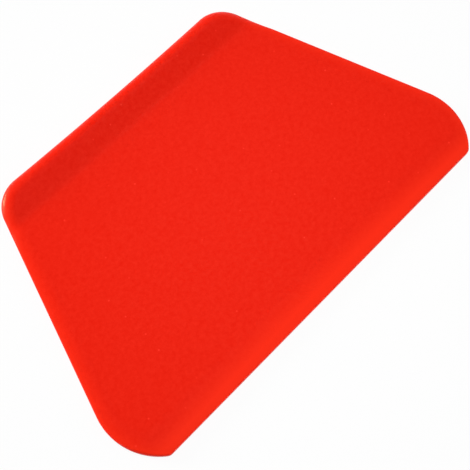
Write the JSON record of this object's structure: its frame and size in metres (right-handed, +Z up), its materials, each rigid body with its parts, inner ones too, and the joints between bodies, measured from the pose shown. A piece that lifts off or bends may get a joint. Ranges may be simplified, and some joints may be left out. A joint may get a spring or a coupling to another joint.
{
  "type": "dough scraper",
  "caption": "Trapezoid hand scraper for dough: soft red card on a stiff core, with a raised grip bead along the short edge and a thinned straight working edge.",
  "frame": {"origin": "on the flat back, under the middle of the card's box", "axes": "+X along the working edge, +Y from the working edge to the grip, +Z up out of the face with the grip bead"},
  "size_m": [0.15, 0.0962, 0.0046],
  "materials": {
    "jacket": "satin red silicone with a fine moulded grain",
    "core": "plain cold rolled stainless sheet"
  },
  "bodies": {
    "root": {"upper_skin": "jacket", "lower_skin": "jacket", "core_plate": "core"}
  },
  "joints": []
}
